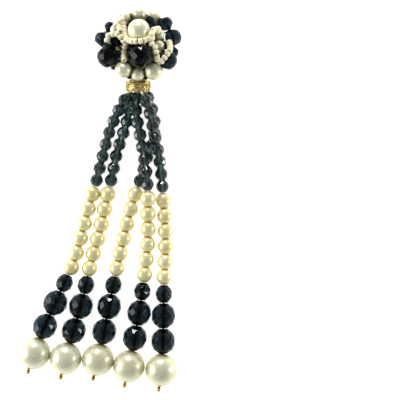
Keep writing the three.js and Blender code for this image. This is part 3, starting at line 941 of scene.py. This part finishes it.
def filler_beads(stones):
    """Small dark beads sewn on the dome wherever the stones leave room for one: partly small crystals of
    the cluster, partly a dark fill standing in for the shade in the gaps between stones.
    """
    radius = FILLER_WIDTH / 2
    sewn = []
    for lean in map(math.radians, FILLER_LEANS):
        for bearing in map(math.radians, FILLER_BEARINGS):
            centre = DOME @ dome_point(bearing, lean, radius + FILLER_LIFT)
            room = radius + FILLER_PLAY
            clear = all((centre - stone.centre).length > room + stone.radius for stone in stones)
            if clear and all((centre - other).length > FILLER_WIDTH for other, _ in sewn):
                sewn.append((centre, bearing))
    pile = Pile()
    for centre, bearing in sewn:
        along = Vector((-math.sin(bearing), math.cos(bearing), 0.0))
        shape = cut_bead(
            FILLER_WIDTH, FILLER_LENGTH, SMALL_ROWS, SMALL_SIDES, FILLER_BORE, FILLER_RIM, FILLER_BEVEL
        )
        pile.add(shape, placed(centre, along))
    pile.piece("small_filler_beads", navy_glass, smooth=False)


def stone_wires(stones):
    """Wire through each stone's hole, bent down at both ends into the dome."""
    pile = Pile()
    for stone in stones:
        bearing, lean = dome_angles(stone.centre)
        for side in (-1, 1):
            out = side * stone.axis
            mouth = stone.centre + out * (stone.length / 2 + 0.12)
            foot_bearing, foot_lean = dome_angles(mouth)
            if (DOME.inverted() @ mouth).xy.length <= 1:
                foot_bearing = bearing
            foot_lean = min(math.pi / 2, foot_lean, max(lean, 0.2) + 0.35)
            foot = DOME @ dome_point(foot_bearing, foot_lean, -ROOT_DEPTH)
            inside = [stone.centre + out * share * stone.length for share in (0.2, 0.42)]
            pile.add(tube(catmull([*inside, mouth, foot], 5), STONE_WIRE))
    pile.piece("cluster_wires", shaded_wire_gilt)


def rest_height(x, y, stones):
    """Height at which a seed bead over a place touches the cluster."""
    height = DOME_HEIGHT
    for stone in stones:
        span = stone.radius + SEED_RADIUS
        away = (x - stone.centre.x) ** 2 + (y - stone.centre.y) ** 2
        if away < span ** 2:
            height = max(height, stone.centre.z + math.sqrt(span ** 2 - away))
    return height


def seen_at(across, down, height):
    """Place at a height that the camera sees at a pixel of the photograph."""
    reach = (CAMERA_AT[2] - height) / FOCAL_PIXELS
    middle = PIXELS_ACROSS / 2
    return CAMERA_AT[0] + (across - middle) * reach, CAMERA_AT[1] + (middle - down) * reach


def drawn_taut(rest):
    """Heights of a thread pulled over rests: it bridges narrow gaps and never sinks into a stone."""
    heights = list(rest)
    for _ in range(TAUT_STEPS):
        for i in range(1, len(heights) - 1):
            heights[i] = max(rest[i], 0.5 * (heights[i - 1] + heights[i + 1]) - SAG)
    return heights


def chain_path(route, stones):
    """Route laid over the stones, under its pixels in the photograph."""
    flat = catmull([(across, down, 0) for across, down in route], 12)
    heights = [SEED_HEIGHT] * len(flat)
    for _ in range(3):
        places = [seen_at(point.x, point.y, height) for point, height in zip(flat, heights)]
        heights = drawn_taut([rest_height(x, y, stones) for x, y in places])
    return [Vector((x, y, height)) for (x, y), height in zip(places, heights)]


def along_path(path, pitch):
    """Places a pitch apart along a path, with the direction there."""
    places = []
    wanted = pitch / 2
    done = 0.0
    for low, high in zip(path, path[1:]):
        step = (high - low).length
        while step and wanted <= done + step:
            places.append((low.lerp(high, (wanted - done) / step), high - low))
            wanted += pitch
        done += step
    return places


def seed_chains(stones):
    shape = seed_bead()
    threads = Pile()
    for name, route in SEED_CHAINS.items():
        path = chain_path(route, stones)
        pile = Pile()
        for place, direction in along_path(path, SEED_PITCH):
            size = chance.uniform(*SEED_SIZES)
            pile.add(shape, placed(place, direction) @ Matrix.Diagonal((size, size, 1, 1)))
        pile.piece(f"seed_beads_{name}", seed_glass)
        ends = []
        for end in (path[0], path[-1]):
            bearing, lean = dome_angles(end)
            ends.append(DOME @ dome_point(bearing, min(1.4, lean), -ROOT_DEPTH))
        threads.add(tube([ends[0]] + path[::3] + [path[-1], ends[1]], SEED_THREAD))
    threads.piece("seed_bead_threads", thread_silk)


def sheet(cells, surface, matrix, name, material, wall, replaces):
    """Pierced sheet: each cell is an outline and a hole of as many points, in the sheet's own plane."""
    bm = bmesh.new()
    for outline, hole in cells:
        outer = [bm.verts.new(surface(*point)) for point in outline]
        if hole is None:
            bm.faces.new(outer)
            continue
        inner = [bm.verts.new(surface(*point)) for point in hole]
        count = len(outer)
        half = []
        for near, far in zip(outline, hole):
            half.append(bm.verts.new(surface((near[0] + far[0]) / 2, (near[1] + far[1]) / 2)))
        for k in range(count):
            after = (k + 1) % count
            bm.faces.new((outer[k], outer[after], half[after], half[k]))
            bm.faces.new((half[k], half[after], inner[after], inner[k]))
    bmesh.ops.remove_doubles(bm, verts=bm.verts, dist=1e-3)
    bmesh.ops.recalc_face_normals(bm, faces=bm.faces)
    middle = sum((vertex.co for vertex in bm.verts), Vector()) / len(bm.verts)
    out = sum(face.normal.dot(face.calc_center_median() - middle) for face in bm.faces)
    if out < 0:
        bmesh.ops.reverse_faces(bm, faces=bm.faces)
    pile = Pile()
    pile.add(lifted(bm), matrix)
    made = pile.piece(name, material, replaces=[replaces])
    thick = made.modifiers.new("wall", "SOLIDIFY")
    thick.thickness = wall * MM
    thick.offset = -1
    fine = made.modifiers.new("fine", "SUBSURF")
    fine.levels = fine.render_levels = 1


def cell(u_low, u_high, v_low, v_high, steps, sides, hole_size):
    """Outline of a cell in (u, v) with steps along u and sides along v, and an oval hole in it."""
    outline = [(u_low + (u_high - u_low) * k / steps, v_low) for k in range(steps)]
    outline += [(u_high, v_low + (v_high - v_low) * k / sides) for k in range(sides)]
    outline += [(u_high - (u_high - u_low) * k / steps, v_high) for k in range(steps)]
    outline += [(u_low, v_high - (v_high - v_low) * k / sides) for k in range(sides)]
    u_middle = (u_low + u_high) / 2
    v_middle = (v_low + v_high) / 2
    hole = []
    for u, v in outline:
        angle = math.atan2((v - v_middle) / (v_high - v_low), (u - u_middle) / (u_high - u_low))
        across, down = hole_size[0] * math.cos(angle), hole_size[1] * math.sin(angle)
        hole.append((u_middle + across, v_middle + down))
    return outline, hole


def bead_plate():
    """Dome with three rings of round holes under the stones."""
    steps_round = 72
    cells = []
    bands = [(12, 30, 6), (30, 52, 12), (52, 74, 18)]
    for low, high, count in bands:
        width = 360 / count
        middle = math.radians((low + high) / 2)
        size = (math.degrees(0.75 / (DOME_RADIUS * math.sin(middle))), 0.34 * (high - low))
        for k in range(count):
            cells.append(cell(k * width, (k + 1) * width, low, high, steps_round // count, 4, size))
    for low, high in ((74, 82), (82, 90)):
        for k in range(steps_round):
            start, end = 360 * k / steps_round, 360 * (k + 1) / steps_round
            cells.append(([(start, low), (end, low), (end, high), (start, high)], None))

    def surface(bearing, lean):
        return dome_point(math.radians(bearing), math.radians(lean))

    sheet(cells, surface, DOME, "pierced_dome", clip_gilt, DOME_WALL, "bead_plate")


def clip_path(top):
    """Middle line of the clip's strip, from the base disc round the heel to the paddle's tip."""
    half = STRIP_THICKNESS / 2
    heel = -BRIDGE_REACH + half
    path = [(heel, top - (top - half - HEEL_BEND) * i / 8) for i in range(9)]
    for i in range(1, 9):
        angle = math.pi / 2 * i / 8
        along = HEEL_BEND * (1 - math.cos(angle))
        path.append((heel + along, half + HEEL_BEND * (1 - math.sin(angle))))
    run = PADDLE_REACH - 0.1 - path[-1][0]
    start = path[-1][0]
    path += [(start + run * i / 24, half) for i in range(1, 25)]
    return path


def clip_strip(pile, top):
    """Sprung strip: narrow at the heel, a rounded paddle with a raised pad at its end."""
    path = clip_path(top)
    bm = bmesh.new()
    rows = []
    columns = 12
    for y, z in path:
        spread = min(1, max(0, (y + PADDLE_START) / PADDLE_START))
        width = PADDLE_WIDTH * (HEEL_SHARE + (1 - HEEL_SHARE) * spread)
        tip = (y - (PADDLE_REACH - TIP_LENGTH)) / TIP_LENGTH
        if tip > 0:
            width *= math.sqrt(max(0.02, 1 - 0.98 * tip ** 2))
        rows.append([(width * (c / columns - 0.5), y, z) for c in range(columns + 1)])
    tangents = []
    for before, after in zip([path[0]] + path[:-1], path[1:] + [path[-1]]):
        tangents.append(Vector((0, *after)) - Vector((0, *before)))
    layers = []
    for side in (-1, 1):
        grid = []
        for row, along in zip(rows, tangents):
            normal = Vector((1, 0, 0)).cross(along).normalized()
            shift = side * STRIP_THICKNESS / 2 * normal
            grid.append([bm.verts.new(Vector(point) + shift) for point in row])
        layers.append(grid)
    for grid in layers:
        for low, high in zip(grid, grid[1:]):
            for c in range(columns):
                bm.faces.new((low[c], low[c + 1], high[c + 1], high[c]))
    rims = []
    for grid in layers:
        rim = [row[0] for row in grid] + grid[-1][1:] + [row[-1] for row in grid[-2::-1]]
        rims.append(rim + grid[0][-2:0:-1])
    near, far = rims
    for k in range(len(near)):
        after = (k + 1) % len(near)
        bm.faces.new((near[k], near[after], far[after], far[k]))
    bmesh.ops.recalc_face_normals(bm, faces=bm.faces)
    edges = [seam for seam in bm.edges if seam.calc_face_angle(0) > 0.9]
    corners = list({vertex for seam in edges for vertex in seam.verts})
    bmesh.ops.bevel(
        bm, geom=edges + corners, offset=STRIP_BEVEL, segments=3, profile=0.5, affect="EDGES"
    )
    pile.add(shape_of(bm))


def base_disc(pile):
    """Disc under the dome with a rolled rim and a stamped ring."""
    top = -SEAT_GAP
    low = top - BASE_THICKNESS
    section = [
        (0.02, low), (5.2, low), (5.6, low - 0.18), (6.2, low - 0.18), (6.6, low), (7.6, low),
        (8.05, low + 0.1), (BASE_RADIUS, (low + top) / 2), (8.05, top - 0.1), (7.7, top), (0.02, top),
    ]
    pile.add(shape_of(revolved(section, 72)), DOME)


def ear_clip():
    slope = math.tan(DOME_TILT)
    top = DOME_HEIGHT - SEAT_GAP - BASE_THICKNESS + (BRIDGE_REACH - DOME_SETBACK) * slope
    pile = Pile()
    clip_strip(pile, top)
    base_disc(pile)
    eye = [(0, CLIP_EYE_AT + along, EYE_HEIGHT + up) for along, up in ring_points(EYE_RADIUS)]
    pile.add(tube(eye, EYE_WIRE, 10, closed=True))
    pad = [(0.02, -0.12), (1.5, -0.12), (1.8, 0.0), (1.65, 0.16), (1.1, 0.3), (0.5, 0.36), (0.02, 0.37)]
    pile.add(shape_of(revolved(pad, 40)), Matrix.Translation((0, PAD_AT, STRIP_THICKNESS)))
    made = pile.piece("gilt_ear_clip", clip_gilt, replaces=["ear_clip"])
    crease_smooth(made)


def crease_smooth(made):
    """Smooth shading that keeps sharp corners sharp."""
    bpy.context.view_layer.objects.active = made
    made.select_set(True)
    bpy.ops.object.shade_smooth_by_angle(angle=math.radians(40))
    made.select_set(False)


PIN_REACH = EYE_RADIUS + EYE_WIRE + SEAT_GAP
CAP_AT = Vector((
    0,
    CLIP_EYE_AT - EYE_RADIUS - LINK_PLAY - PIN_REACH * math.cos(CAP_DIP),
    EYE_HEIGHT - PIN_REACH * math.sin(CAP_DIP),
))
# Takes +Z of a shape to the cap's axis, which points from its mouth to its top.
CAP = Matrix.Translation(CAP_AT) @ Matrix.Rotation(CAP_DIP - math.pi / 2, 4, "X")

# Cap's petals: depth of their openings' middle, reach of the wire round each, in degrees and as a
# share of the cap's length, and the scroll in each half: its turns and how far it winds in.
PETAL_DEPTH = 0.53
PETAL_RING = (16.0, 0.215)
SCROLL_TURNS = 1.3
SCROLL_WINDING = 0.62


def cap_point(turn, depth, lift=0.0):
    """Point on the cap's outer face; turn in degrees round it, depth from 0 at the top to 1."""
    depths, radii = zip(*CAP_OUTLINE)
    petal = math.cos(math.radians(turn) * CAP_PETALS)
    low = max(0.0, depth - 0.6) / 0.4
    radius = float(np.interp(depth, depths, radii)) + 0.1 * petal * low + lift
    height = -CAP_LENGTH * (depth + 0.07 * petal * low * (depth > 0.85))
    angle = math.radians(turn)
    return Vector((radius * math.cos(angle), radius * math.sin(angle), height))


def petal_ring(middle):
    """Path of the wire round a petal's opening."""
    path = []
    for along, down in ring_points(1.0, 28):
        turn = middle + PETAL_RING[0] * along
        path.append(CAP @ cap_point(turn, PETAL_DEPTH + PETAL_RING[1] * down, 0.04))
    return path


def petal_scroll(middle, side):
    """Path of a scroll that winds inwards in one half of a petal's opening."""
    path = []
    steps = 21
    for i in range(steps + 1):
        angle = math.tau * SCROLL_TURNS * i / steps
        reach = 1 - SCROLL_WINDING * i / steps
        turn = middle + side * (7.0 - 7.5 * reach * math.cos(angle))
        path.append(CAP @ cap_point(turn, PETAL_DEPTH + 0.14 * reach * math.sin(angle), -0.06))
    return path


def filigree_cap():
    """Cap of openwork petals: pierced sheet, wire round each opening, scrolls and grains."""
    width = 360 / CAP_PETALS
    cells = []
    for k in range(2 * CAP_PETALS):
        low = k * width / 2 - width / 4
        cells.append(cell(low, low + width / 2, 0.0, CAP_COLLAR, 6, 3, (5.0, 0.075)))
    for k in range(CAP_PETALS):
        low = (k - 0.5) * width
        cells.append(cell(low, low + width, CAP_COLLAR, CAP_HEM, 12, 5, (15.0, 0.2)))
        cells.append(cell(low, low + width, CAP_HEM, 1.0, 12, 2, (6.0, 0.06)))
    sheet(cells, cap_point, CAP, "filigree_cap_shell", bright_gilt, CAP_WALL, "filigree_cap")
    top = [(CAP_HOLE, -CAP_WALL), (CAP_TOP + 0.1, -CAP_WALL), (CAP_TOP + 0.25, -0.1)]
    top += [(CAP_TOP, 0.12), (CAP_HOLE, 0.12)]
    pile = Pile()
    pile.add(shape_of(revolved(top, 48)), CAP)
    for k in range(CAP_PETALS):
        middle = k * width
        pile.add(tube(petal_ring(middle), 0.17, closed=True))
        for side in (-1, 1):
            pile.add(tube(petal_scroll(middle, side), 0.12, 7))
        for radius, turn, depth, lift in ((0.3, width / 2, 0.84, 0.08), (0.24, 0, 0.27, 0.06)):
            grain = CAP @ cap_point(middle + turn, depth, lift)
            pile.add(ball(radius, 14, 10), Matrix.Translation(grain))
        edge = [CAP @ cap_point(middle + width * (i / 12 - 0.5), 0.985, 0.0) for i in range(13)]
        pile.add(tube(edge, 0.16))
    pile.piece("filigree_cap_wirework", bright_gilt)


def cap_pin():
    """Eye pin through the cap's top: its eye is linked through the clip's eye."""
    pile = Pile()
    eye = [CAP @ Vector((across, 0, PIN_REACH + up)) for across, up in ring_points(EYE_RADIUS)]
    pile.add(tube(eye, EYE_WIRE, 10, closed=True))
    foot = -CAP_WALL - SEAT_GAP - CAP_PIN_BALL
    neck = PIN_REACH - EYE_RADIUS
    pile.add(tube([CAP @ Vector((0, 0, foot)), CAP @ Vector((0, 0, neck))], EYE_WIRE, 10))
    pile.add(ball(CAP_PIN_BALL), Matrix.Translation(CAP @ Vector((0, 0, foot))))
    pile.piece("gilt_eye_pin", bright_gilt, replaces=["cap_pin"])


cluster = cluster_stones()
filler_beads(cluster)
stone_wires(cluster)
seed_chains(cluster)
bead_plate()
ear_clip()
filigree_cap()
cap_pin()
